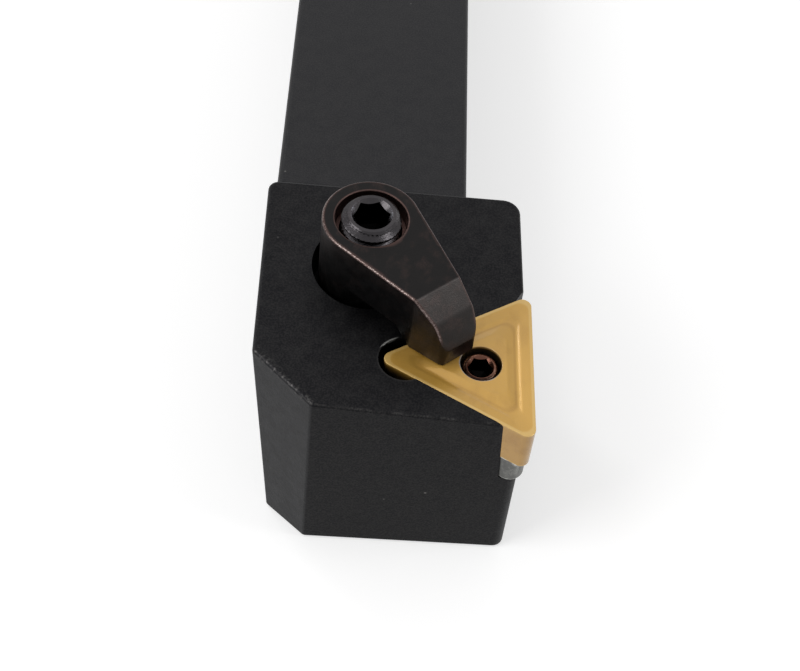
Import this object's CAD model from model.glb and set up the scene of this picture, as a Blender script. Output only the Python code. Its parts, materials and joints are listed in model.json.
"""Looks of the turning tool holder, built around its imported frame."""
import json
import logging
import math
from dataclasses import dataclass, field
from enum import Enum
from typing import Any, Dict, List, Optional, Sequence, Tuple, Union

import bpy
import numpy as np
from mathutils import Euler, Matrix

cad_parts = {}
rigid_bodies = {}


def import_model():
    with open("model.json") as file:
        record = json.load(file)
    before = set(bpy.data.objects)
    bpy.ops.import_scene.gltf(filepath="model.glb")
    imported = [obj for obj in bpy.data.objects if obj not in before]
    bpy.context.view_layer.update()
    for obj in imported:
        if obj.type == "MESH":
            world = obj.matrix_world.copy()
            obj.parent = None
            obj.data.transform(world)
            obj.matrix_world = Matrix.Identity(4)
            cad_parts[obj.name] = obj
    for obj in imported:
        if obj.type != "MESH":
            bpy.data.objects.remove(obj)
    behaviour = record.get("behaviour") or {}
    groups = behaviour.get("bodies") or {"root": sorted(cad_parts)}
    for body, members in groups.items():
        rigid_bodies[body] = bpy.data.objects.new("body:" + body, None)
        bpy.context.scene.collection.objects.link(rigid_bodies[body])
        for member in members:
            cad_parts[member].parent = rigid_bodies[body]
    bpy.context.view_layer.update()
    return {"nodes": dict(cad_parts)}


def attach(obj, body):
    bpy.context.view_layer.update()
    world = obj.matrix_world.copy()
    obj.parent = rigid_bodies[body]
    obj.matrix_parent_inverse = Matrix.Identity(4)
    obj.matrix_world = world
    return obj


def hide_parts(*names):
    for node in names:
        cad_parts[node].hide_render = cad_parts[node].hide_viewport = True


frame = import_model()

Array = np.ndarray
Number = Union[int, float]
Pair = Tuple[float, float]
Triple = Tuple[float, float, float]
Colour = Tuple[int, int, int]
Plane = Tuple[Array, float]
Faces = Tuple[List[Plane], List[Plane]]
Reading = Union[float, Array]
log = logging.getLogger("turning_tool_holder")

MM = 0.001
WELD = 1e-4            # points nearer than this, in mm, are one vertex
WELD_SHIFT = 0.31      # keeps round coordinates away from the welding grid's lines
SMOOTH_BELOW = 27.0    # faces that meet at a smaller angle, in degrees, are shaded as one surface


# ---- numbers and curves

def smoothstep(value: Array, low: float, high: float) -> Array:
    """Cubic step 3t^2 - 2t^3 with t running from 0 at low to 1 at high.

    Args:
        value: Numbers to step.
        low: Where the step starts.
        high: Where the step ends.

    Returns:
        Numbers from 0 to 1.
    """
    t = np.clip((value - low) / (high - low), 0.0, 1.0)
    return t * t * (3.0 - 2.0 * t)


def rounded_interp(value: Array, at: Sequence[float], heights: Sequence[float], reach: float) -> Array:
    """Broken line with its corners rounded: the line's mean over +-reach round each value.

    Args:
        value: Where the line is read.
        at: Places of the corners.
        heights: Heights of the corners.
        reach: Half of the length that is averaged.

    Returns:
        Heights, in the shape of value.
    """
    offsets = np.linspace(-reach, reach, 9)
    return np.interp(np.asarray(value)[..., None] + offsets, at, heights).mean(-1)


def arc(centre: Sequence[float], radius: float, start: float, end: float, steps: int) -> Array:
    """Points centre + radius (cos a, sin a), with a in equal steps from start to end, in degrees.

    Args:
        centre: Middle of the arc.
        radius: Its radius.
        start: First angle.
        end: Last angle.
        steps: Number of steps.

    Returns:
        (steps + 1, 2) points.
    """
    a = np.radians(np.linspace(start, end, steps + 1))
    return np.asarray(centre) + radius * np.stack([np.cos(a), np.sin(a)], -1)


def run(start: Sequence[float], end: Sequence[float], spacing: float) -> Array:
    """Evenly spaced points (1 - s) start + s end on a straight run, without its end point.

    Args:
        start: First point.
        end: Point that the run stops short of.
        spacing: Largest distance between neighbours.

    Returns:
        (n, 2) points.
    """
    a, b = np.asarray(start, float), np.asarray(end, float)
    count = max(1, math.ceil(float(np.linalg.norm(b - a)) / spacing))
    return a + (b - a) * (np.arange(count) / count)[:, None]


def rounded_corner(before: Array, corner: Array, after: Array, radius: float, steps: int) -> Array:
    """Arc that touches both runs at a corner. Its centre lies on the bisector, radius / sin(half angle) away.

    Args:
        before: A point on the run that comes in.
        corner: The sharp corner.
        after: A point on the run that leaves.
        radius: Radius of the arc.
        steps: Number of steps along it.

    Returns:
        (steps + 1, 2) points from one touching point to the other.
    """
    to_before = (before - corner) / np.linalg.norm(before - corner)
    to_after = (after - corner) / np.linalg.norm(after - corner)
    half = 0.5 * math.acos(float(np.clip(to_before @ to_after, -1, 1)))
    bisector = (to_before + to_after) / np.linalg.norm(to_before + to_after)
    centre = corner + bisector * radius / math.sin(half)
    touch = radius / math.tan(half)
    first, last = corner + to_before * touch - centre, corner + to_after * touch - centre
    start = math.degrees(math.atan2(first[1], first[0]))
    turn = (math.degrees(math.atan2(last[1], last[0])) - start + 180.0) % 360.0 - 180.0
    return arc(centre, radius, start, start + turn, steps)


def quarter(radius: float, steps: int) -> List[Pair]:
    """Quarter round: (radius (1 - cos a), radius (1 - sin a)), with a in equal steps from 0 to 90 degrees.

    Args:
        radius: Radius of the round.
        steps: Number of steps.

    Returns:
        steps + 1 pairs, from (0, radius) to (radius, 0).
    """
    angles = np.radians(np.linspace(0, 90, steps + 1))
    return [(radius * (1 - math.cos(a)), radius * (1 - math.sin(a))) for a in angles]


def outward(loop: Array) -> Array:
    """Unit normals of a closed anticlockwise loop: the chord between a point's neighbours, turned by
    -90 degrees.

    Args:
        loop: (n, 2) points, the last joined to the first.

    Returns:
        (n, 2) normals.
    """
    chord = np.roll(loop, -1, 0) - np.roll(loop, 1, 0)
    chord /= np.linalg.norm(chord, axis=1, keepdims=True)
    return np.stack([chord[:, 1], -chord[:, 0]], -1)


# ---- place in the frame

@dataclass(frozen=True)
class Seat:
    """Coordinates of the insert's top face: x back along its side edge, y inboard, z up out of the face."""

    corner: Triple = (15.875, -28.0, 19.05)
    side_rake: float = 5.0
    back_rake: float = 6.5
    edge_lead: float = 1.0

    def axes(self) -> Array:
        """The three unit axes as rows, in the frame's own coordinates."""
        up = np.array([math.tan(math.radians(self.side_rake)), -math.tan(math.radians(self.back_rake)), 1.0])
        up /= np.linalg.norm(up)
        along = np.array([-math.tan(math.radians(self.edge_lead)), 1.0, 0.0])
        along[2] = -(up[0] * along[0] + up[1] * along[1]) / up[2]
        along /= np.linalg.norm(along)
        return np.stack([along, np.cross(up, along), up])

    def place(self, points: Array, at: Pair, turn: float = 0.0) -> Array:
        """Moves points from a piece's own coordinates on the seat to the frame.

        Args:
            points: (..., 3) points in mm.
            at: Where the piece's origin stands on the seat.
            turn: Its turn about the seat's z, in degrees.

        Returns:
            (..., 3) points in metres: corner + (at + turned point) in the seat's axes.
        """
        c, s = math.cos(math.radians(turn)), math.sin(math.radians(turn))
        x = at[0] + c * points[..., 0] - s * points[..., 1]
        y = at[1] + s * points[..., 0] + c * points[..., 1]
        local = np.stack([x, y, points[..., 2]], -1)
        return (np.asarray(self.corner) + local @ self.axes()) * MM


# ---- grids to meshes

@dataclass
class Shell:
    """Closed surface given as a grid of points, with one number per point for each named attribute."""

    points: Array
    marks: Dict[str, Array] = field(default_factory=dict)

    def quads(self) -> Array:
        """Index rows of the grid's faces, turned so that the volume they enclose is positive."""
        rows, cols = self.points.shape[:2]
        index = np.arange(rows * cols).reshape(rows, cols)
        faces = np.stack([index[:-1, :-1], index[:-1, 1:], index[1:, 1:], index[1:, :-1]], -1).reshape(-1, 4)
        p = self.points.reshape(-1, 3)
        a, b, c, d = (p[faces[:, i]] for i in range(4))
        volume = np.einsum("ij,ij->i", a, np.cross(b, c) + np.cross(c, d)).sum()
        return faces if volume > 0 else faces[:, ::-1]


@dataclass
class Rows:
    """Rows of a shell's grid, gathered one by one, with the marks of each."""

    points: List[Array] = field(default_factory=list)
    marks: List[Dict[str, Reading]] = field(default_factory=list)

    def add(self, plan: Array, height: Reading, **marks: Reading) -> None:
        """Adds a row.

        Args:
            plan: (n, 2) places of its points in plan.
            height: Height of the row, or of each point.
            marks: Attribute values of the row, or of each point; one that isn't given is 0.
        """
        self.points.append(np.column_stack([plan, np.broadcast_to(height, len(plan))]))
        self.marks.append(marks)

    def shell(self) -> Shell:
        """Closed grid of the rows.

        Returns:
            The grid, with every mark that a row gives.
        """
        names = {name for marks in self.marks for name in marks}
        along = self.points[0].shape[0]
        grids = {n: np.stack([np.broadcast_to(m.get(n, 0.0), along) for m in self.marks]) for n in names}
        return Shell(np.stack(self.points), grids)


# ---- shader arithmetic

class Value:
    """Socket that takes part in arithmetic. Each operation adds a Math node."""

    def __init__(self, graph: "Graph", socket: bpy.types.NodeSocket) -> None:
        """Keeps the socket and the graph that it belongs to."""
        self.graph = graph
        self.socket = socket

    def math(self, operation: str, *others: "Operand") -> "Value":
        """Adds a Math node with this value first.

        Args:
            operation: The node's operation.
            others: Its other inputs.

        Returns:
            The node's value.
        """
        inputs = {i: v for i, v in enumerate((self, *others))}
        return self.graph.node("ShaderNodeMath", {"operation": operation}, inputs)[0]

    def __add__(self, other: "Operand") -> "Value":
        """Sum."""
        return self.math("ADD", other)

    def __mul__(self, other: "Operand") -> "Value":
        """Product."""
        return self.math("MULTIPLY", other)

    def __sub__(self, other: "Operand") -> "Value":
        """Difference."""
        return self.math("SUBTRACT", other)

    def __rsub__(self, other: "Operand") -> "Value":
        """Difference with this value second."""
        return self.graph.node("ShaderNodeMath", {"operation": "SUBTRACT"}, {0: other, 1: self})[0]

    __radd__ = __add__
    __rmul__ = __mul__

    def __abs__(self) -> "Value":
        """Size without its sign."""
        return self.math("ABSOLUTE")

    def smooth(self, low: Number, high: Number) -> "Value":
        """Smooth step from 0 at low to 1 at high; a low above high falls instead.

        Args:
            low: Value that gives 0.
            high: Value that gives 1.

        Returns:
            The step.
        """
        if low > high:
            return 1 - self.smooth(high, low)
        settings = {"interpolation_type": "SMOOTHSTEP"}
        return self.graph.node("ShaderNodeMapRange", settings, {0: self, 1: low, 2: high, 3: 0.0, 4: 1.0})[0]


Operand = Union[Value, Number]


class Outputs:
    """Output sockets of a node, read by number or by name."""

    def __init__(self, graph: "Graph", node: bpy.types.Node) -> None:
        """Keeps the node."""
        self.graph = graph
        self.node = node

    def __getitem__(self, key: Union[int, str]) -> Value:
        """One output socket."""
        return Value(self.graph, self.node.outputs[key])


def linear(colour: Colour) -> Tuple[float, float, float, float]:
    """Display colour from 0 to 255 as the linear colour that a socket takes.

    Args:
        colour: Red, green and blue.

    Returns:
        Linear red, green, blue and an alpha of 1.
    """
    c = np.asarray(colour, float) / 255.0
    c = np.where(c <= 0.04045, c / 12.92, ((c + 0.055) / 1.055) ** 2.4)
    return (float(c[0]), float(c[1]), float(c[2]), 1.0)


class Graph:
    """Node tree that is emptied and then filled node by node."""

    def __init__(self, owner: Union[bpy.types.Material, bpy.types.World]) -> None:
        """Empties the owner's tree."""
        owner.use_nodes = True
        self.tree = owner.node_tree
        self.tree.nodes.clear()

    def node(self, kind: str, settings: Dict[str, Any], inputs: Dict[Union[int, str], Any]) -> Outputs:
        """Adds a node.

        Args:
            kind: Its type.
            settings: Its own properties, set first.
            inputs: Values or links of its sockets, by number or name.

        Returns:
            Its outputs.
        """
        node = self.tree.nodes.new(kind)
        for key, value in settings.items():
            setattr(node, key, value)
        for key, value in inputs.items():
            self.feed(node.inputs[key], value)
        return Outputs(self, node)

    def feed(self, socket: bpy.types.NodeSocket, value: Any) -> None:
        """Links a value to a socket, or sets a constant on it."""
        if isinstance(value, Value):
            self.tree.links.new(value.socket, socket)
        else:
            socket.default_value = value


class Finish(Graph):
    """Material with one Principled shader and the nodes that feed it."""

    def __init__(self, name: str) -> None:
        """Makes a material whose shader is joined to its output."""
        self.material = bpy.data.materials.new(name)
        super().__init__(self.material)
        shader = self.node("ShaderNodeBsdfPrincipled", {}, {})
        self.node("ShaderNodeOutputMaterial", {}, {"Surface": shader[0]})
        self.shader = shader.node
        self._place: Optional[Value] = None

    def set(self, **sockets: Any) -> None:
        """Sets the shader's sockets, their names written with underscores for spaces."""
        for key, value in sockets.items():
            self.feed(self.shader.inputs[key.replace("_", " ")], value)

    @property
    def place(self) -> Value:
        """Object coordinates, in metres."""
        if self._place is None:
            self._place = self.node("ShaderNodeTexCoord", {}, {})["Object"]
        return self._place

    def along(self, axis: Sequence[float], offset: float = 0.0) -> Value:
        """Distance along an axis in mm: the point's dot product with the axis, less an offset.

        Args:
            axis: Unit axis in the frame.
            offset: Distance that counts as 0.

        Returns:
            The signed distance.
        """
        scaled = tuple(float(a) / MM for a in axis)
        settings = {"operation": "DOT_PRODUCT"}
        return self.node("ShaderNodeVectorMath", settings, {0: self.place, 1: scaled})["Value"] - offset

    def noise(self, size: float, detail: float = 2.0, stretch: Sequence[float] = (1, 1, 1)) -> Value:
        """Noise from about 0.3 to 0.7.

        Args:
            size: Size of its features in mm.
            detail: Number of finer layers.
            stretch: Factors on the three coordinates.

        Returns:
            The noise's value.
        """
        where = self.place
        if tuple(stretch) != (1, 1, 1):
            settings = {"operation": "MULTIPLY"}
            where = self.node("ShaderNodeVectorMath", settings, {0: where, 1: tuple(stretch)})["Vector"]
        inputs = {"Vector": where, "Scale": 1 / (size * MM), "Detail": detail}
        return self.node("ShaderNodeTexNoise", {}, inputs)[0]

    def mark(self, name: str) -> Value:
        """Attribute of the mesh."""
        return self.node("ShaderNodeAttribute", {"attribute_name": name}, {})["Fac"]

    def mix(self, share: Operand, first: Any, second: Any) -> Value:
        """Blend of two colours, the second by the share."""
        settings = {"data_type": "RGBA", "clamp_factor": True}
        return self.node("ShaderNodeMix", settings, {0: share, 6: first, 7: second})[2]

    def layers(self, base: Colour, *coats: Tuple[Operand, Colour]) -> Value:
        """Colour with coats laid over it, each by its share.

        Args:
            base: Colour under the coats.
            coats: Share and colour of each coat, from the first laid to the last.

        Returns:
            The colour that is seen.
        """
        colour: Any = linear(base)
        for share, coat in coats:
            colour = self.mix(share, colour, linear(coat))
        return colour

    def bump(self, height: Value, depth: float) -> Value:
        """Normal of a surface raised by a height from 0 to 1 times a depth in mm."""
        inputs = {"Height": height, "Distance": depth * MM, "Strength": 1.0}
        return self.node("ShaderNodeBump", {}, inputs)[0]


# ---- finishes

@dataclass(frozen=True)
class HolderFaces:
    """Flat faces of the holder, in mm and degrees."""

    half_width: float = 9.525
    height: float = 19.05
    rear: float = 86.3
    side_offset: float = 14.4
    side_flare: float = 1.9
    side_lean: float = 5.0
    front: float = -25.85
    front_plan: float = 2.4
    front_lean: float = 4.5
    bevel_start: float = -20.35
    bevel_angle: float = 44.5

    @staticmethod
    def plane(normal: Sequence[float], point: Sequence[float]) -> Plane:
        """Unit normal of a face, and its offset: normal . point."""
        unit = np.asarray(normal, float) / np.linalg.norm(normal)
        return unit, float(unit @ np.asarray(point))

    def bevel(self) -> Plane:
        """Face that cuts the corner between the front and the shank's side."""
        slope = math.tan(math.radians(self.bevel_angle))
        return self.plane((-slope, -1.0, 0.0), (-self.half_width, self.bevel_start, 0.0))

    def head(self, seat: Seat) -> Faces:
        """Faces of the head.

        Args:
            seat: Coordinates that the top face lies in.

        Returns:
            The top and bottom, then the walls between them.
        """
        flare, lean, plan, rake = (math.tan(math.radians(a)) for a in
                                   (self.side_flare, self.side_lean, self.front_plan, self.front_lean))
        caps = [self.plane(seat.axes()[2], seat.corner), self.plane((0, 0, -1), (0, 0, 0))]
        walls = [
            self.plane((1.0, flare, -lean), (self.side_offset, 0.0, self.height)),
            self.plane((-plan, -1.0, -rake), (0.0, self.front, self.height)),
            self.bevel(),
            self.plane((-1, 0, 0), (-self.half_width, 0, 0)),
            self.plane((0, 1, 0), (0, 0, 0)),
        ]
        return caps, walls

    def shank(self) -> Faces:
        """Top, bottom and end of the shank, then its two sides."""
        caps = [self.plane((0, 0, -1), (0, 0, 0)), self.plane((0, 0, 1), (0, 0, self.height)),
                self.plane((0, 1, 0), (0, self.rear, 0))]
        return caps, [self.plane((side, 0, 0), (side * self.half_width, 0, 0)) for side in (-1, 1)]


@dataclass(frozen=True)
class BlackOxide:
    """Blackened steel: a near-black skin, darker on the milled head than on the shank, with fine grain, a
    few specks, rubbed edges, scuffs where the bevel meets the top and a bright crescent on the rim of the
    drilled corner."""

    top: Colour = (28, 28, 30)
    walls: Colour = (20, 20, 22)
    shank: Colour = (40, 40, 42)
    bevel: Colour = (34, 34, 36)
    rubbed: Colour = (116, 114, 112)
    glint: Colour = (190, 190, 186)
    edge_width: float = 0.26
    bevel_edge_share: float = 0.6
    rim_band: Pair = (0.2, 0.05)
    rim_wear: float = 0.12
    glint_side: Pair = (0.79, 0.61)
    glint_from: Pair = (2.2, 2.33)
    scuff_reach: float = 0.9
    scuff_share: float = 0.3
    speck_spacing: float = 3.4
    speck_size: Pair = (0.05, 0.025)
    milled_margin: float = 0.3
    faces: HolderFaces = HolderFaces()

    def edges(self, finish: Finish, faces: Faces, width: Number) -> Value:
        """Nearness to the edges round the caps: the sum over the caps, plus the greatest over the walls, of
        a step that falls from 1 on a face to 0 at width from it, less 1 for the face that the point is on.
        An edge between two walls gives nothing.

        Args:
            finish: Material that takes the nodes.
            faces: Caps and walls.
            width: Width of the rubbed band, in mm.

        Returns:
            0 on open faces and up to 1 on edges.
        """
        caps, walls = ([abs(finish.along(*plane)).smooth(width, 0.0) for plane in group] for group in faces)
        nearest = walls[0]
        for wall in walls[1:]:
            nearest = nearest.math("MAXIMUM", wall)
        for cap in caps:
            nearest = nearest + cap
        return (nearest - 1).math("MAXIMUM", 0.0)

    def build(self, seat: Seat, relief: Triple) -> bpy.types.Material:
        """Makes the material.

        Args:
            seat: Coordinates of the head's top face.
            relief: Centre and radius of the drilled corner on the seat, in mm.

        Returns:
            The material.
        """
        f = Finish("black_oxide_steel")
        behind = f.along((0, 1, 0)).smooth(-0.25, 0.05)
        bevel = abs(f.along(*self.faces.bevel()))
        share = self.bevel_edge_share
        head = self.edges(f, self.faces.head(seat), self.edge_width) * (1 - behind)
        head = head * (share + (1 - share) * bevel.smooth(0.5, 0.1))
        shank = self.edges(f, self.faces.shank(), self.edge_width) * behind
        origin = (relief[0], relief[1], 0.0)
        u, v, height = (f.along(axis, float(axis @ np.asarray(seat.corner)) + start)
                        for axis, start in zip(seat.axes(), origin))
        depth = abs(height)

        rim = abs((u * u + v * v).math("SQRT") - relief[2]).smooth(*self.rim_band) * depth.smooth(0.35, 0.1)
        crescent = rim * (self.glint_side[0] * u + self.glint_side[1] * v).smooth(*self.glint_from)
        patchy = f.noise(1.1, 3.0).smooth(0.45, 0.62)
        fine = f.noise(0.16, 3.0).smooth(0.38, 0.66)
        scuffs = self.scuff_share * bevel.smooth(self.scuff_reach, 0.0) * depth.smooth(self.scuff_reach, 0.0)
        scuffs = scuffs * f.noise(0.4, 2.0).smooth(0.52, 0.66)
        worn = (head + shank) * (0.15 + 0.85 * patchy) * (0.35 + 0.65 * fine)
        worn = (worn + self.rim_wear * rim + scuffs).math("MINIMUM", 1.0)

        cells = {"Vector": f.place, "Scale": 1 / (self.speck_spacing * MM)}
        specks = f.node("ShaderNodeTexVoronoi", {}, cells)["Distance"].smooth(*self.speck_size)
        specks = specks * f.noise(9.0, 1.0).smooth(0.5, 0.56)
        mottle = f.noise(1.3, 4.0).smooth(0.34, 0.68)
        drawn = f.along((-1, 0, 0), self.faces.half_width - self.milled_margin).smooth(0.0, 0.2)
        low = f.along((0, 0, 1)).smooth(self.milled_margin, 0.1)
        drawn = drawn.math("MAXIMUM", low).math("MAXIMUM", behind)
        scratches = f.noise(0.5, 2.0, stretch=(1, 0.06, 1)).smooth(0.5, 0.6)
        colour = f.layers(
            self.walls,
            (depth.smooth(0.3, 0.1), self.top),
            (drawn, self.shank),
            (bevel.smooth(0.12, 0.04) * (1 - behind), self.bevel),
            (0.03 * mottle + 0.06 * fine, self.rubbed),
            (0.8 * worn, self.rubbed),
            (0.6 * specks, self.rubbed),
            (crescent, self.glint),
        )
        f.set(Base_Color=colour, Metallic=1.0, Roughness=0.48 + 0.06 * mottle - 0.12 * worn,
              Normal=f.bump(0.6 * fine + 0.4 * scratches, 0.006))
        return f.material


@dataclass(frozen=True)
class BrownedSteel:
    """Heat-darkened steel: a skin with faint smears, whose rubbed edges show a paler layer and then bright
    metal, with ground faces that are a little paler and deep hollows that are nearly black."""

    name: str
    skin: Colour
    rubbed: Colour
    bright: Colour
    roughness: float
    ground: Colour = (62, 59, 58)
    hollow: Colour = (10, 9, 9)
    grain: float = 0.12

    def build(self) -> bpy.types.Material:
        """Makes the material from the mesh's edge, ground, recess and hollow marks.

        Returns:
            The material.
        """
        f = Finish(self.name)
        fine = f.noise(self.grain, 3.0).smooth(0.36, 0.66)
        patchy = f.noise(0.9, 2.0).smooth(0.36, 0.64)
        smears = f.noise(1.1, 5.0, stretch=(1, 0.6, 1)).smooth(0.48, 0.68)
        rub = f.mark("edge") * (0.55 + 0.45 * fine)
        colour = f.layers(
            self.skin,
            (f.mark("ground") * (0.75 + 0.25 * fine), self.ground),
            (0.2 * smears * (0.3 + 0.7 * fine), self.rubbed),
            (f.mark("recess"), self.rubbed),
            (rub, self.rubbed),
            (rub.smooth(0.45, 0.95) * (0.45 + 0.55 * patchy), self.bright),
            (f.mark("hollow"), self.hollow),
        )
        f.set(Base_Color=colour, Metallic=1.0, Roughness=self.roughness + 0.08 * patchy - 0.1 * rub,
              Normal=f.bump(fine, 0.004))
        return f.material


@dataclass(frozen=True)
class CoatedCarbide:
    """Pressed carbide under a thin golden coat, a little darker in the chip groove, on the flanks and in
    faint smudges, with a ring of bare grey at the bore's mouth and oil-blackened faces in the bore and in
    the holder's drilled corner."""

    face: Colour = (194, 150, 66)
    groove: Colour = (164, 121, 46)
    rim: Colour = (208, 172, 100)
    bare: Colour = (156, 152, 148)
    oily: Colour = (30, 26, 20)

    def build(self) -> bpy.types.Material:
        """Makes the material from the mesh's groove, edge, bore and oil marks.

        Returns:
            The material.
        """
        f = Finish("coated_carbide")
        fine = f.noise(0.09, 3.0).smooth(0.34, 0.68)
        cloud = f.noise(2.4, 2.0).smooth(0.32, 0.7)
        smudges = f.noise(1.5, 4.0, stretch=(1, 0.6, 1)).smooth(0.5, 0.7)
        shade = f.mark("groove") * (0.75 + 0.25 * cloud) + 0.35 * smudges * (0.5 + 0.5 * fine)
        colour = f.layers(self.face, (shade, self.groove), (f.mark("edge"), self.rim),
                          (f.mark("bore"), self.bare), (f.mark("oil"), self.oily))
        f.set(Base_Color=colour, Metallic=0.36, Roughness=0.28 + 0.07 * fine + 0.05 * cloud,
              Coat_Weight=0.6, Coat_Roughness=0.17, Normal=f.bump(fine, 0.003))
        return f.material


@dataclass(frozen=True)
class GreyCarbide:
    """Ground carbide of the shim: grey, with scuffed, lighter edges."""

    face: Colour = (96, 96, 94)
    scuffed: Colour = (210, 210, 204)

    def build(self) -> bpy.types.Material:
        """Makes the material from the mesh's edge marks.

        Returns:
            The material.
        """
        f = Finish("grey_carbide")
        fine = f.noise(0.12, 3.0).smooth(0.36, 0.66)
        patchy = f.noise(0.8, 2.0).smooth(0.4, 0.6)
        scuff = (f.mark("edge") * (0.4 + 0.6 * patchy) + 0.14 * patchy * fine).math("MINIMUM", 1.0)
        f.set(Base_Color=f.layers(self.face, (scuff, self.scuffed)), Metallic=1.0,
              Roughness=0.38 + 0.12 * fine, Normal=f.bump(fine, 0.004))
        return f.material


# ---- pieces

Coat = Union[BrownedSteel, CoatedCarbide, GreyCarbide]
INSCRIBED = 4.7625     # radius of the insert's inscribed circle, in mm
INSERT_MIDDLE = (INSCRIBED * math.sqrt(3), INSCRIBED)


@dataclass
class Piece:
    """Piece that stands for a node of the frame, on the node's body, with its finish and with its place
    and turn on the seat. Each kind of piece gives its own shell."""

    seat: Seat
    node: str
    body: str
    slot: str
    finish: Coat
    place: Pair
    turn: float = 0.0

    def shell(self) -> Shell:
        """Surface of the piece, in its own coordinates in mm."""
        raise NotImplementedError

    def mesh(self, name: str) -> bpy.types.Mesh:
        """Makes the shell's mesh. Points that coincide become one vertex, and a face that this leaves with
        fewer than three corners is dropped, which closes every seam and pole.

        Args:
            name: Name of the mesh.

        Returns:
            The mesh, with the piece's place in its points.
        """
        shell = self.shell()
        points = shell.points.reshape(-1, 3)
        keys = np.floor(points / WELD + WELD_SHIFT)
        _, first, merged = np.unique(keys, axis=0, return_index=True, return_inverse=True)
        faces = merged.reshape(-1)[shell.quads()]
        keep = faces != np.roll(faces, -1, 1)
        corners = keep.sum(1)
        keep &= (corners >= 3)[:, None]
        corners = corners[corners >= 3]
        placed = self.seat.place(points[first], self.place, self.turn)

        mesh = bpy.data.meshes.new(name)
        mesh.vertices.add(len(first))
        mesh.vertices.foreach_set("co", placed.astype(np.float32).ravel())
        mesh.loops.add(int(corners.sum()))
        mesh.loops.foreach_set("vertex_index", faces[keep].astype(np.int32))
        mesh.polygons.add(len(corners))
        mesh.polygons.foreach_set("loop_start", (np.cumsum(corners) - corners).astype(np.int32))
        mesh.update(calc_edges=True)
        mesh.validate()
        for mark, values in sorted(shell.marks.items()):
            attribute = mesh.attributes.new(mark, "FLOAT", "POINT")
            attribute.data.foreach_set("value", values.ravel()[first].astype(np.float32))
        mesh.polygons.foreach_set("use_smooth", np.ones(len(mesh.polygons), bool))
        mesh.set_sharp_from_angle(angle=math.radians(SMOOTH_BELOW))
        return mesh

    def build(self) -> bpy.types.Object:
        """Makes the piece and puts it in its node's stead.

        Returns:
            The finished piece.
        """
        name = f"{self.node}_dressed"
        mesh = self.mesh(name)
        mesh.materials.append(self.finish.build())
        piece = bpy.data.objects.new(name, mesh)
        bpy.context.scene.collection.objects.link(piece)
        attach(piece, self.body)
        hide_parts(self.node)
        log.info("%s: %d faces on body %s", name, len(mesh.polygons), self.body)
        return piece


# ---- insert and shim

def triangle_stations(side_steps: int = 30, corner_steps: int = 18) -> Tuple[Array, Array]:
    """Stations round an equilateral triangle whose inscribed circle has radius 1, one corner on +y.
    At a corner the place q stays on the corner and the normal n turns 120 degrees; on a side n stays
    and q moves. A ring with inscribed radius r and corner radius c is then (r - c) q + c n.

    Args:
        side_steps: Steps along a side.
        corner_steps: Steps round a corner.

    Returns:
        q and n, both (stations, 2), the last station repeating the first.
    """
    places, angles = [], []
    for k in range(3):
        here, there = (2 * arc((0, 0), 1, 90 + 120 * i, 90 + 120 * i, 0)[0] for i in (k, k + 1))
        s = (np.arange(1, side_steps) / side_steps)[:, None]
        places += [np.repeat(here[None], corner_steps + 1, 0), here * (1 - s) + there * s]
        angles += [np.linspace(30, 150, corner_steps + 1) + 120 * k, np.full(side_steps - 1, 150.0 + 120 * k)]
    q, a = np.concatenate(places), np.radians(np.concatenate(angles))
    n = np.stack([np.cos(a), np.sin(a)], -1)
    return np.concatenate([q, q[:1]]), np.concatenate([n, n[:1]])


@dataclass
class TriangularPlate(Rows):
    """Plate with a rounded triangular outline and a round bore, as rings that run from the middle of the
    flank over one face to the bore and back over the other face."""

    inscribed_radius: float = INSCRIBED
    corner_radius: float = 1.0

    def __post_init__(self) -> None:
        """Works out the stations, and the direction of the outline at each."""
        self.q, self.n = triangle_stations()
        base = (self.inscribed_radius - 2 * self.corner_radius) * self.q + self.corner_radius * self.n
        self.direction = base / np.linalg.norm(base, axis=1, keepdims=True)

    def ring(self, setback: float, height: float, share: float = 0.0, circle: float = 0.0,
             corner: Optional[float] = None, **marks: float) -> None:
        """Adds the ring (1 - share) ((r - c) q + c n) + share circle direction, with r the inscribed
        radius less the setback and c the corner radius.

        Args:
            setback: Distance inwards from the outline.
            height: Height of the ring.
            share: 0 for the outline, 1 for the circle.
            circle: Radius of the circle.
            corner: Corner radius of the outline there, if it isn't the plate's own.
            marks: Attribute values on the ring.
        """
        c = self.corner_radius if corner is None else corner
        outline = (self.inscribed_radius - setback - c) * self.q + c * self.n
        self.add((1 - share) * outline + share * circle * self.direction, height, **marks)


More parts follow.
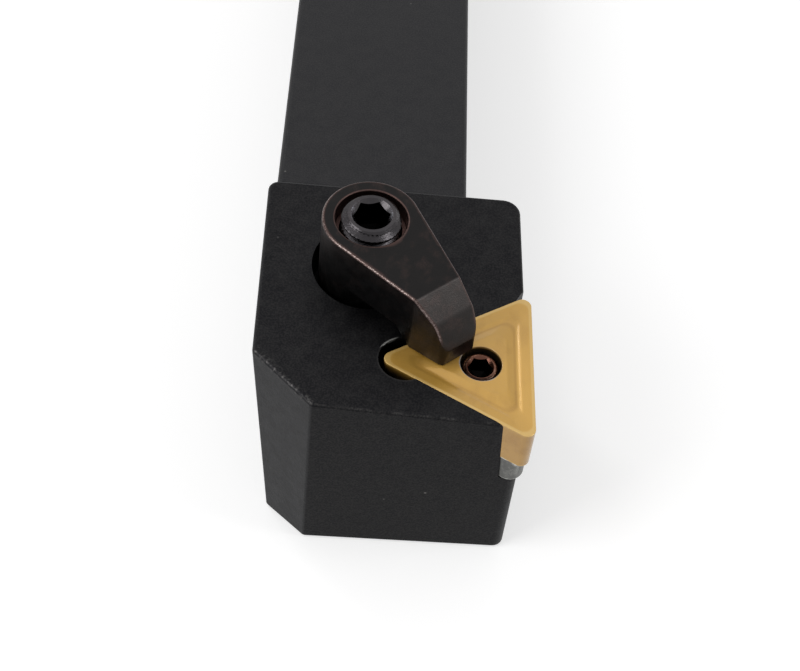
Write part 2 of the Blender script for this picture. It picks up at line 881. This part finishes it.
@dataclass
class Insert(Piece):
    """Triangular insert with a ground rim, pressed chip grooves on both faces and a plain bore."""

    node: str = "insert"
    body: str = "holder"
    slot: str = "coated_carbide"
    finish: Coat = CoatedCarbide()
    place: Pair = INSERT_MIDDLE
    thickness: float = 4.76
    nose_radius: float = 0.8
    bore_radius: float = 1.905
    hone: float = 0.035
    land: float = 0.22
    step: float = 1.12
    step_depth: float = 0.15
    groove_depth: float = 0.26
    groove_start: float = 1.44
    groove_end: float = 1.62
    groove_blend: float = 0.09
    groove_rings: int = 52
    plateau: float = 2.4
    plateau_corner: float = 1.0
    inner: float = 2.56
    mouth_radius: float = 0.05
    relief: Pair = (0.0, 6.925)
    relief_radius: float = 2.6
    oil_from: Pair = (-0.4, -0.27)
    corner_oil: float = 0.95
    bore_oil: float = 0.97
    bare_side: Pair = (-0.77, 0.64)
    bare_share: float = 0.9
    flank_shade: float = 0.8
    groove_shade: float = 0.5
    edge_wear: float = 0.9
    land_wear: float = 0.85

    def half(self, plate: TriangularPlate) -> None:
        """Adds the rings from the middle of the flank over the top face to the middle of the bore.

        The groove's height is a rounded broken line over the setback from the edge: level on the land,
        a long gentle slope, a steeper one to a narrow floor, and a rise to the plateau.

        Args:
            plate: Plate that takes the rings.
        """
        middle = -self.thickness / 2
        for height in np.linspace(middle, -0.35, 4):
            plate.ring(0.0, height, groove=self.flank_shade)
        plate.ring(0.0, -0.1, edge=0.15, groove=0.7)
        for setback, drop in quarter(self.hone, 4):
            plate.ring(setback, -drop, edge=self.edge_wear)
        stops = (self.land, self.step, self.groove_start, self.groove_end, self.plateau)
        levels = (0.0, -self.step_depth, -self.groove_depth, -self.groove_depth, 0.0)
        setbacks = np.linspace(self.hone + 0.02, self.inner, self.groove_rings)
        heights = np.minimum(rounded_interp(setbacks, stops, levels, self.groove_blend), 0.0)
        radii = (self.nose_radius, self.plateau_corner)
        corners = np.interp(setbacks, (self.groove_end, self.plateau), radii)
        shades = self.groove_shade * smoothstep(setbacks, self.groove_start, self.groove_end)
        shades *= 1 - smoothstep(setbacks, self.groove_end, self.groove_end + 0.25)
        rims = self.land_wear * (1 - smoothstep(setbacks, self.land, self.land + 0.12))
        for setback, height, corner, shade, rim in zip(setbacks, heights, corners, shades, rims):
            plate.ring(setback, height, corner=corner, groove=shade, edge=rim)
        for share in (0.25, 0.5, 0.75, 0.93):
            plate.ring(self.inner, 0.0, share, self.bore_radius + self.mouth_radius, self.plateau_corner)
        for drop, widening in quarter(self.mouth_radius, 5):
            plate.ring(self.inner, -drop, 1.0, self.bore_radius + widening, bore=self.bare_share)
        plate.ring(self.inner, -0.16, 1.0, self.bore_radius, bore=self.bare_share, oil=0.1)
        for height in (-0.3, -1.0, middle):
            plate.ring(self.inner, height, 1.0, self.bore_radius, oil=self.bore_oil)

    def shell(self) -> Shell:
        """The upper half's rings and the same mirrored to the lower face. Oil blackens what stands in the
        holder's drilled corner, and the metal is bare on one side of the bore's mouth.

        Returns:
            The shell, with edge, groove, bore and oil marks.
        """
        plate = TriangularPlate(inscribed_radius=INSCRIBED, corner_radius=self.nose_radius)
        self.half(plate)
        for row, marks in list(zip(plate.points, plate.marks))[::-1]:
            plate.add(row[:, :2], -self.thickness - row[:, 2], **marks)
        shell = plate.shell()
        plan = shell.points[..., :2]
        away = np.linalg.norm(plan - np.asarray(self.relief), axis=-1)
        inside = 1 - smoothstep(away, 0.9 * self.relief_radius, self.relief_radius)
        below = 1 - smoothstep(shell.points[..., 2], *self.oil_from)
        shell.marks["oil"] = np.maximum(shell.marks["oil"], self.corner_oil * inside * below)
        ray = plan / np.maximum(np.linalg.norm(plan, axis=-1, keepdims=True), 1e-6)
        bare = smoothstep(ray @ self.bare_side, -0.3, 0.5)
        shell.marks["bore"] = shell.marks["bore"] * (0.2 + 0.8 * bare)
        return shell


@dataclass
class Shim(Piece):
    """Seat plate under the insert, with broken edges, a chipped nose and a recess for the pin's collar."""

    node: str = "shim"
    body: str = "holder"
    slot: str = "grey_carbide"
    finish: Coat = GreyCarbide()
    place: Pair = INSERT_MIDDLE
    inset: float = 0.1
    top: float = -4.76
    thickness: float = 3.18
    corner_radius: float = 1.3
    bore_radius: float = 2.6
    recess_radius: float = 3.2
    recess_depth: float = 1.5
    edge_break: float = 0.16
    bore_break: float = 0.1
    chip_at: Triple = (-7.0, -3.92, -5.12)
    chip_size: float = 0.72
    chip_depth: float = 0.24
    chip_wear: float = 1.8

    def shell(self) -> Shell:
        """One run of rings round the section, pushed inwards round the chip.

        Returns:
            The shell, with edge marks.
        """
        plate = TriangularPlate(inscribed_radius=INSCRIBED - self.inset, corner_radius=self.corner_radius)
        top, bottom, e, b = self.top, self.top - self.thickness, self.edge_break, self.bore_break
        floor, bore, recess = top - self.recess_depth, self.bore_radius, self.recess_radius
        inner = e + 0.05
        plate.ring(inner, top)
        for setback, drop in quarter(e, 4)[::-1]:
            plate.ring(setback, top - drop, edge=1.0)
        for height in [*np.linspace(top - e - 0.06, top - 1.0, 9), bottom + e + 0.06]:
            plate.ring(0.0, height)
        for setback, lift in quarter(e, 4):
            plate.ring(setback, bottom + lift, edge=1.0)
        for share in (0.05, 0.35, 0.65, 0.95):
            plate.ring(inner, bottom, share, bore + b)
        for radius, height in ((bore + b, bottom), (bore, bottom + b), (bore, floor), (recess, floor),
                               (recess, top - b), (recess + b, top)):
            plate.ring(e, height, 1.0, radius)
        for share in (0.95, 0.5, 0.0):
            plate.ring(inner, top, share, recess + b)
        shell = plate.shell()
        chip_at = np.asarray(self.chip_at)
        away = np.linalg.norm(shell.points - chip_at, axis=-1)
        chip = 1 - smoothstep(away, 0.4 * self.chip_size, self.chip_size)
        shell.points[..., :2] *= 1 - chip[..., None] * self.chip_depth / np.linalg.norm(chip_at[:2])
        shell.marks["edge"] = np.maximum(shell.marks["edge"], self.chip_wear * chip)
        return shell


# ---- screw and pin

class Hand(Enum):
    """Which way a thread winds."""

    RIGHT = 1
    LEFT = -1


@dataclass(frozen=True)
class Thread:
    """Thread between two heights of a turned piece."""

    top: float
    bottom: float
    pitch: float
    depth: float
    hand: Hand
    crest_share: float = 0.18

    def cut(self, angle: Array, height: Array) -> Array:
        """Depth below the outside diameter: a V with flat crests, whose phase is height / pitch less
        the share of a turn. The thread fades out over half a pitch at its lower end.

        Args:
            angle: Angle round the axis, in turns.
            height: Height on the axis.

        Returns:
            Depth in mm.
        """
        phase = (height / self.pitch - self.hand.value * angle) % 1.0
        vee = np.clip((np.abs(phase - 0.5) * 2 - self.crest_share) / (1 - 2 * self.crest_share), 0, 1)
        return self.depth * (1 - vee) * smoothstep(height, self.bottom, self.bottom + 0.5 * self.pitch)


@dataclass
class TurnedPart(Rows):
    """Solid of revolution with a hexagon socket in its top and threads along it, as rows of radius over
    angle. Rows along a thread follow its helix, so that its crests are crisp. Wear is strongest on one
    side of the axis and on the side across from it."""

    top: float = 0.0
    socket_width: float = 2.0
    socket_depth: float = 2.0
    socket_break: float = 0.1
    socket_shade: float = 1.0
    wear: float = 1.0
    wear_side: float = 0.0
    wear_spread: float = 0.5
    stations: int = 144
    rows_per_pitch: int = 18

    @property
    def turns(self) -> Array:
        """Stations round the axis, as shares of a turn, the last repeating the first."""
        return np.arange(self.stations + 1) / self.stations

    def row(self, radius: Reading, height: Reading, edge: Reading = 0.0,
            hollow: Reading = 0.0) -> None:
        """Adds the row (radius cos a, radius sin a, height).

        Args:
            radius: Radius of the row, or of each point.
            height: Height of the row, or of each point.
            edge: Wear of an edge.
            hollow: How deep in a hollow the row lies, from 0 to 1.
        """
        a = self.turns * 2 * math.pi
        worn = edge * (1 - self.wear_spread * np.sin(a - math.radians(self.wear_side)) ** 2)
        self.add(np.stack([radius * np.cos(a), radius * np.sin(a)], -1), height, edge=worn, hollow=hollow)

    def socket(self) -> None:
        """Adds the socket from its floor's middle to the top face. The hexagon's radius at an angle is
        half its width over the cosine of the angle from the nearest flat, and a cone breaks its mouth."""
        off_flat = (self.turns * 360 + 30) % 60 - 30
        hexagon = self.socket_width / 2 / np.cos(np.radians(off_flat))
        mouth = self.socket_width / 2 / math.cos(math.radians(30)) + self.socket_break
        floor, cone = self.top - self.socket_depth, self.top - (mouth - hexagon)
        self.row(0.0, floor - 0.35, 0.0, 1.0)
        self.row(0.93 * hexagon, floor, 0.0, 1.0)
        self.row(hexagon, floor + 0.03, 0.0, 1.0)
        for drop, hollow in ((self.socket_shade, 1.0), (0.5 * self.socket_shade, 0.6), (0.05, 0.25)):
            self.row(hexagon, cone - drop, 0.15, hollow)
        self.row(hexagon, cone, 0.7 * self.wear)
        self.row(mouth, self.top, self.wear)
        self.row(mouth + 0.04, self.top, 0.6 * self.wear)

    def threaded(self, radius: float, thread: Thread, top_break: float, bottom_break: float) -> None:
        """Adds a thread's rows from its top to its bottom. Row k stands at (k + turns * rows per pitch)
        steps, held between the ends, and its radius is the outside radius less the thread's cut, inside
        a 45 degree cone at each broken end.

        Args:
            radius: Outside radius.
            thread: The thread.
            top_break: Width of the cone at the top.
            bottom_break: Width of the cone at the bottom.
        """
        step = thread.pitch / self.rows_per_pitch
        count = math.ceil((thread.top - thread.bottom) / step) + self.rows_per_pitch
        lean = self.turns if thread.hand is Hand.LEFT else 1 - self.turns
        for k in range(count + 1):
            height = np.clip(thread.top - (k - lean * self.rows_per_pitch) * step, thread.bottom, thread.top)
            cut = thread.cut(self.turns, height)
            outside = np.minimum(radius - cut, radius - top_break + (thread.top - height))
            outside = np.minimum(outside, radius - bottom_break + (height - thread.bottom))
            near_top = 1 - smoothstep(thread.top - height, 0.0, 0.5)
            crest = 1 - np.clip(cut / thread.depth, 0, 1)
            self.row(outside, height, self.wear * (0.3 + 0.4 * near_top.mean()) * (0.4 + 0.6 * crest))


@dataclass
class ClampScrew(Piece):
    """Headless screw with a left-hand thread in the clamp, a neck, and a right-hand thread in the head."""

    node: str = "clamp_screw"
    body: str = "screw"
    slot: str = "screw_steel"
    finish: Coat = BrownedSteel("screw_steel", skin=(60, 58, 60), rubbed=(84, 81, 82), bright=(158, 158, 166),
                                roughness=0.17)
    place: Pair = (18.85, 15.3)
    turn: float = 247.8
    radius: float = 2.75
    top: float = 7.35
    top_break: float = 0.55
    neck_radius: float = 2.1
    neck_top: float = -3.0
    neck_bottom: float = -5.4
    bottom: float = -14.4
    pitch: float = 0.907

    def shell(self) -> Shell:
        """Socket, upper thread, neck and lower thread.

        Returns:
            The shell, with edge and hollow marks.
        """
        part = TurnedPart(top=self.top, socket_width=3.0, socket_depth=3.2, socket_break=0.16,
                          socket_shade=0.5, wear=0.9, wear_side=22.0, wear_spread=0.8)
        part.socket()
        depth, waist = 0.6 * self.pitch, self.radius - self.neck_radius
        upper = Thread(self.top, self.neck_top, self.pitch, depth, Hand.LEFT)
        lower = Thread(self.neck_bottom, self.bottom, self.pitch, depth, Hand.RIGHT)
        part.row(self.radius - self.top_break - 0.05, self.top, 0.5)
        part.threaded(self.radius, upper, self.top_break, waist)
        part.row(self.neck_radius, self.neck_top)
        part.row(self.neck_radius, self.neck_bottom)
        part.threaded(self.radius, lower, waist, self.top_break)
        part.row(0.0, self.bottom)
        return part.shell()


@dataclass
class LockPin(Piece):
    """Pin that holds the shim and stands in the insert's bore: barrel, collar, stem and thread."""

    node: str = "lock_pin"
    body: str = "pin"
    slot: str = "browned_steel"
    finish: Coat = BrownedSteel("browned_steel", skin=(92, 60, 50), rubbed=(116, 82, 68),
                                bright=(176, 140, 120), roughness=0.2)
    place: Pair = (8.2489, 4.7625)
    top: float = -0.5
    barrel_radius: float = 1.67
    top_break: float = 0.35
    collar_radius: float = 2.95
    collar_top: float = -4.91
    collar_bottom: float = -6.26
    collar_break: float = 0.12
    stem_radius: float = 2.1
    thread_radius: float = 2.415
    thread_top: float = -7.94
    bottom: float = -16.44
    pitch: float = 0.794
    oily_side: float = 170.0

    def shell(self) -> Shell:
        """Socket, oily top of the barrel, collar, stem and thread.

        Returns:
            The shell, with edge and hollow marks.
        """
        part = TurnedPart(top=self.top, socket_width=2.0, socket_depth=2.0, socket_break=0.08,
                          socket_shade=1.0, wear=0.8, wear_side=60.0, wear_spread=0.5)
        part.socket()
        from_side = part.turns * 2 * math.pi - math.radians(self.oily_side)
        oil = 0.85 * smoothstep(np.cos(from_side), 0.1, 0.75)
        part.row(self.barrel_radius - self.top_break - 0.03, self.top, 0.7, oil)
        for drop, inset in quarter(self.top_break, 5):
            part.row(self.barrel_radius - inset, self.top - drop, 1.0, oil)
        rim, b = self.collar_radius, self.collar_break
        for radius, height in ((self.barrel_radius, self.collar_top), (rim - b, self.collar_top),
                               (rim, self.collar_top - b), (rim, self.collar_bottom + b),
                               (rim - b, self.collar_bottom), (self.stem_radius, self.collar_bottom),
                               (self.stem_radius, self.thread_top)):
            part.row(radius, height)
        thread = Thread(self.thread_top, self.bottom, self.pitch, 0.55 * self.pitch, Hand.RIGHT)
        part.threaded(self.thread_radius, thread, self.thread_radius - self.stem_radius, self.top_break)
        part.row(0.0, self.bottom)
        return part.shell()


# ---- clamp

@dataclass
class Clamp(Piece):
    """Finger clamp: a round boss that drops into the head, and an arm that tapers to a toe on the insert.
    x runs along the arm from the screw's axis, z up from the head's top face."""

    node: str = "clamp"
    body: str = "clamp"
    slot: str = "browned_clamp_steel"
    finish: Coat = BrownedSteel("browned_clamp_steel", skin=(37, 36, 36), rubbed=(86, 67, 63),
                                bright=(142, 130, 126), roughness=0.38)
    place: Pair = (18.85, 15.3)
    turn: float = 217.8
    height: float = 6.75
    boss_radius: float = 4.5
    boss_depth: float = 3.0
    boss_break: float = 0.25
    reach: float = 13.3
    taper: float = 12.0
    shoulder: float = 9.75
    brow: float = 11.95
    brow_height: float = 4.9
    lip_height: float = 2.15
    tip_inner: float = 1.35
    tip_outer: float = 2.55
    tip_radius: float = 0.9
    side_bend: float = 3.0
    top_bend: float = 0.13
    bend_rows: Tuple[float, ...] = (-0.16, -0.08, 0.0, 0.08, 0.16)
    spacing: float = 0.16
    toe_setback: float = 0.15
    toe_length: float = 3.4
    gap: float = 1.7
    edge_radius: float = 0.22
    under_break: float = 0.1
    recess_radius: float = 3.3
    recess_depth: float = 1.6
    recess_edge: float = 0.14
    bore_radius: float = 2.8
    bore_break: float = 0.1
    inner_wear: float = 0.95
    outer_loss: float = 0.25
    tip_loss: float = 0.9
    side_wear: float = 0.4
    arm_from: Pair = (1.2, 1.8)
    ground_at: Tuple[float, ...] = (9.65, 9.8, 11.9, 12.05, 13.2)
    ground_share: Tuple[float, ...] = (0.0, 1.0, 1.0, 0.45, 0.45)

    @property
    def heel(self) -> float:
        """Where the toe begins."""
        return self.reach - self.toe_setback - self.toe_length

    def outline(self) -> Array:
        """Closed anticlockwise plan: the back of the boss's circle, then the arm's two sides, which leave
        the circle as tangents, and its tip with rounded corners.

        Returns:
            (n, 2) points without a repeated end.
        """
        t = math.radians(self.taper)
        root, half_root = self.boss_radius * math.sin(t), self.boss_radius * math.cos(t)
        half = half_root - math.tan(t) * (self.shoulder - root)
        back = arc((0, 0), self.boss_radius, 90 - self.taper, 270 + self.taper, 84)
        corners = np.array([(root, -half_root), (self.shoulder, -half), (self.reach, -self.tip_inner),
                            (self.reach, self.tip_outer), (self.shoulder, half), (root, half_root)])
        side, tip = (self.side_bend, 6), (self.tip_radius, 12)
        loop, last = [back[:-1]], back[-1]
        for k, bend in enumerate((side, tip, tip, side)):
            turned = rounded_corner(*corners[k:k + 3], *bend)
            loop += [run(last, turned[0], self.spacing), turned[:-1]]
            last = turned[-1]
        return np.concatenate([*loop, run(last, back[0], self.spacing)])

    def top_at(self, x: Array) -> Array:
        """Height of the top: level, then two slopes down to the lip, with the bends rounded."""
        stops = (self.shoulder, self.brow, self.reach)
        return rounded_interp(x, stops, (self.height, self.brow_height, self.lip_height), self.top_bend)

    def bottom_at(self, x: Array) -> Array:
        """Height of the underside: the gap over the head, a slope down behind the toe, and the toe."""
        return np.interp(x, (self.heel - self.gap, self.heel), (self.gap, 0.0))

    @staticmethod
    def between(start: Array, end: Array, shares: Sequence[float], crossings: Sequence[float]) -> List[Array]:
        """Rows of points on the runs from start to end. Besides those at fixed shares, each crossing gives
        a row that follows the line x = crossing where a run meets it, and rests on the run's nearer end
        elsewhere, so that a bend of the surface lies on a row.

        Args:
            start: (n, 2) points.
            end: (n, 2) points.
            shares: Shares of the run, where it has no crossing.
            crossings: Values of x, in the order in which an outward or inward run meets them.

        Returns:
            Rows of (n, 2) points in order from start to end.
        """
        x0, x1 = start[:, 0], end[:, 0]
        rows = [np.full(len(start), s) for s in shares]
        ahead = 1.0 if crossings[-1] > crossings[0] else 0.0
        for x in crossings:
            meets = (x0 - x) * (x1 - x) < 0
            rows.append(np.where(meets, (x - x0) / np.where(meets, x1 - x0, 1.0), ahead))
        return [start + (end - start) * s[:, None] for s in np.sort(np.stack(rows), 0)]

    def shell(self) -> Shell:
        """Closed grid of stations round the outline by rows round the section: out over the top from the
        recess's mouth, round the upper edge, down the side, in under the arm, down the boss, in to the
        bore and up through the recess.

        Returns:
            The shell, with edge, ground and recess marks.
        """
        loop = self.outline()
        normal = outward(loop)
        loop, normal = np.concatenate([loop, loop[:1]]), np.concatenate([normal, normal[:1]])
        inset = loop - self.edge_radius * normal
        ray = inset / np.linalg.norm(inset, axis=1, keepdims=True)
        at_tip = smoothstep(loop[:, 0], self.reach - 0.7, self.reach - 0.3)
        outer_side = smoothstep(loop[:, 1], -0.5, 0.5)
        wear = (1 - self.tip_loss * at_tip) * (self.inner_wear - self.outer_loss * outer_side)
        rows = Rows()

        def add(plan: Array, height: Reading, worn: Reading = 0.0,
                inside: float = 0.0) -> None:
            """Adds a row, with the ground marks of its places where it isn't inside the recess."""
            ground = np.interp(plan[:, 0], self.ground_at, self.ground_share) * (inside == 0)
            rows.add(plan, height, edge=worn, ground=ground, recess=inside)

        for widening, drop in quarter(self.recess_edge, 4):
            add(ray * (self.recess_radius + widening), self.height - drop, 0.55, 0.5)
        bends = [bend + offset for bend in (self.shoulder, self.brow) for offset in self.bend_rows]
        mouth = ray * (self.recess_radius + self.recess_edge)
        for row in self.between(mouth, inset, (0.04, 0.3, 0.6, 0.9, 0.985, 1.0), bends):
            to_rim = np.linalg.norm(row - inset, axis=1)
            add(row, self.top_at(row[:, 0]), 0.5 * wear * (to_rim < 0.05))
        for turn in np.radians(np.linspace(0, 90, 7)[1:]):
            row = loop - self.edge_radius * (1 - math.sin(turn)) * normal
            worn = math.sin(2 * turn) ** 0.5 if turn < 1.5 else self.side_wear
            add(row, self.top_at(row[:, 0]) - self.edge_radius * (1 - math.cos(turn)), wear * worn)
        high = self.top_at(loop[:, 0]) - self.edge_radius
        broken = self.under_break * smoothstep(loop[:, 0], *self.arm_from)
        foot = self.bottom_at(loop[:, 0]) + broken
        for share in (0.02, 0.35, 0.65, 0.97, 1.0):
            height = high + (foot - high) * share
            row = loop.copy()
            lean = self.reach - self.toe_setback * np.clip(1 - height / self.lip_height, 0, 1)
            row[:, 0] = np.minimum(row[:, 0], lean)
            add(row, height, 0.2 * wear * (share < 0.1))
        under = row - broken[:, None] * normal
        spoke = loop / np.linalg.norm(loop, axis=1, keepdims=True)
        wall, crossings = self.boss_radius * spoke, (self.heel, self.heel - self.gap)
        for row in self.between(under, wall, (0.0, 0.5, 0.97, 1.0), crossings):
            add(row, self.bottom_at(row[:, 0]))
        bore, b = self.bore_radius, self.bore_break
        base, floor = -self.boss_depth, self.height - self.recess_depth
        for radius, height in ((self.boss_radius, base + self.boss_break),
                               (self.boss_radius - self.boss_break, base),
                               (bore + b, base), (bore, base + b), (bore, floor - b)):
            add(spoke * radius, height)
        for radius, height in ((bore + b, floor), (self.recess_radius - 0.05, floor),
                               (self.recess_radius, floor + 0.05),
                               (self.recess_radius, self.height - self.recess_edge)):
            add(ray * radius, height, 0.0, 1.0)
        return rows.shell()


# ---- holder

@dataclass
class HolderBody:
    """Shank and head: the frame's own node, with its finish."""

    seat: Seat
    relief: Triple = (8.2489, 11.6875, 2.35)

    def build(self) -> bpy.types.Object:
        """Dresses the node.

        Returns:
            The node's object.
        """
        node = frame["nodes"]["holder_body"]
        node.data.materials.clear()
        node.data.materials.append(BlackOxide().build(self.seat, self.relief))
        log.info("holder_body: %d faces, blackened", len(node.data.polygons))
        return node


# ---- studio

@dataclass
class Lamp:
    """Soft square lamp: where it stands, where it points and how it shines, in metres and watts."""

    name: str
    place: Triple
    size: float
    power: float
    aim: Triple = (0.0, -0.015, 0.015)

    def build(self) -> bpy.types.Object:
        """Makes the lamp."""
        data = bpy.data.lights.new(self.name, "AREA")
        data.shape, data.size, data.energy = "SQUARE", self.size, self.power
        lamp = bpy.data.objects.new(self.name, data)
        lamp.location = self.place
        towards = np.asarray(self.aim) - np.asarray(self.place)
        yaw = math.atan2(towards[1], towards[0]) - math.pi / 2
        pitch = math.atan2(math.hypot(towards[0], towards[1]), -towards[2])
        lamp.rotation_euler = (pitch, 0.0, yaw)
        bpy.context.scene.collection.objects.link(lamp)
        return lamp


@dataclass
class Studio:
    """Plain white room: floor, world, lamps and camera."""

    floor_size: float = 6.0
    floor_gap: float = 0.05
    floor_shade: float = 0.62
    floor_glow: float = 0.52
    far_glow: float = 0.75
    far_from: Pair = (0.25, 0.7)
    ambient: float = 0.55
    camera_place: Triple = (7.942, -131.552, 139.399)
    camera_turn: Triple = (44.0186, 0.32266, 1.833)
    camera_lens: float = 81.6515
    camera_sensor: float = 36.0
    camera_clip: Pair = (0.01, 50.0)

    def floor(self) -> None:
        """Floor under the shank: a pale surface that keeps shadows, with a glow of its own for the camera
        and for reflections, so that it is white where it is lit. The glow grows away from the part."""
        s = self.floor_size / 2
        mesh = bpy.data.meshes.new("floor")
        z = -self.floor_gap * MM
        mesh.from_pydata([(-s, -s, z), (s, -s, z), (s, s, z), (-s, s, z)], [], [(0, 1, 2, 3)])
        floor = bpy.data.objects.new("floor", mesh)
        bpy.context.scene.collection.objects.link(floor)
        f = Finish("floor")
        path = f.node("ShaderNodeLightPath", {}, {})
        seen = path["Is Camera Ray"] + path["Is Glossy Ray"] + path["Is Transmission Ray"]
        seen = seen.math("MINIMUM", 1.0)
        away = f.node("ShaderNodeVectorMath", {"operation": "LENGTH"}, {0: f.place})["Value"]
        near, far = ((glow,) * 3 + (1.0,) for glow in (self.floor_glow, self.far_glow))
        glow = f.mix(seen, (0.0, 0.0, 0.0, 1.0), f.mix(away.smooth(*self.far_from), near, far))
        f.set(Base_Color=(self.floor_shade,) * 3 + (1.0,), Roughness=1.0, Specular_IOR_Level=0.0,
              Emission_Color=glow, Emission_Strength=1.0)
        mesh.materials.append(f.material)

    def world(self) -> None:
        """World: white to the camera and in reflections, and dimmer as a lamp."""
        world = bpy.data.worlds.new("studio")
        bpy.context.scene.world = world
        g = Graph(world)
        path = g.node("ShaderNodeLightPath", {}, {})
        seen = path["Is Camera Ray"].math("MAXIMUM", path["Is Glossy Ray"])
        seen = seen.math("MAXIMUM", path["Is Transmission Ray"])
        strength = g.node("ShaderNodeMapRange", {}, {"Value": seen, "To Min": self.ambient, "To Max": 1.0})
        back = g.node("ShaderNodeBackground", {}, {"Strength": strength[0]})
        g.node("ShaderNodeOutputWorld", {}, {"Surface": back[0]})

    def camera(self) -> None:
        """Camera at the working angle."""
        data = bpy.data.cameras.new("camera")
        data.lens, data.sensor_width = self.camera_lens, self.camera_sensor
        data.clip_start, data.clip_end = self.camera_clip
        camera = bpy.data.objects.new("camera", data)
        camera.location = [v * MM for v in self.camera_place]
        camera.rotation_euler = Euler([math.radians(a) for a in self.camera_turn], "XYZ")
        bpy.context.scene.collection.objects.link(camera)
        bpy.context.scene.camera = camera

    def build(self) -> None:
        """Sets up the room."""
        self.floor()
        self.world()
        self.camera()
        for lamp in (
            Lamp("key", (-0.5, -0.22, 0.42), 0.45, 2.2),
            Lamp("fill", (0.55, -0.1, 0.5), 0.26, 1.0),
            Lamp("top", (-0.04, 0.16, 0.68), 0.7, 0.5),
            Lamp("glint", (-0.31, 0.42, 0.6), 0.14, 0.6),
            Lamp("rear", (0.1, 0.8, 0.25), 0.4, 0.25),
        ):
            lamp.build()
        bpy.context.scene.view_settings.view_transform = "Standard"
        log.info("studio: floor, world, camera and lamps")


def main() -> None:
    """Builds every piece and the studio."""
    logging.basicConfig(level=logging.INFO, format="%(name)s: %(message)s")
    seat = Seat()
    for part in (HolderBody(seat), Shim(seat), Insert(seat), LockPin(seat), Clamp(seat), ClampScrew(seat)):
        part.build()
    Studio().build()


if __name__ == "__main__":
    main()
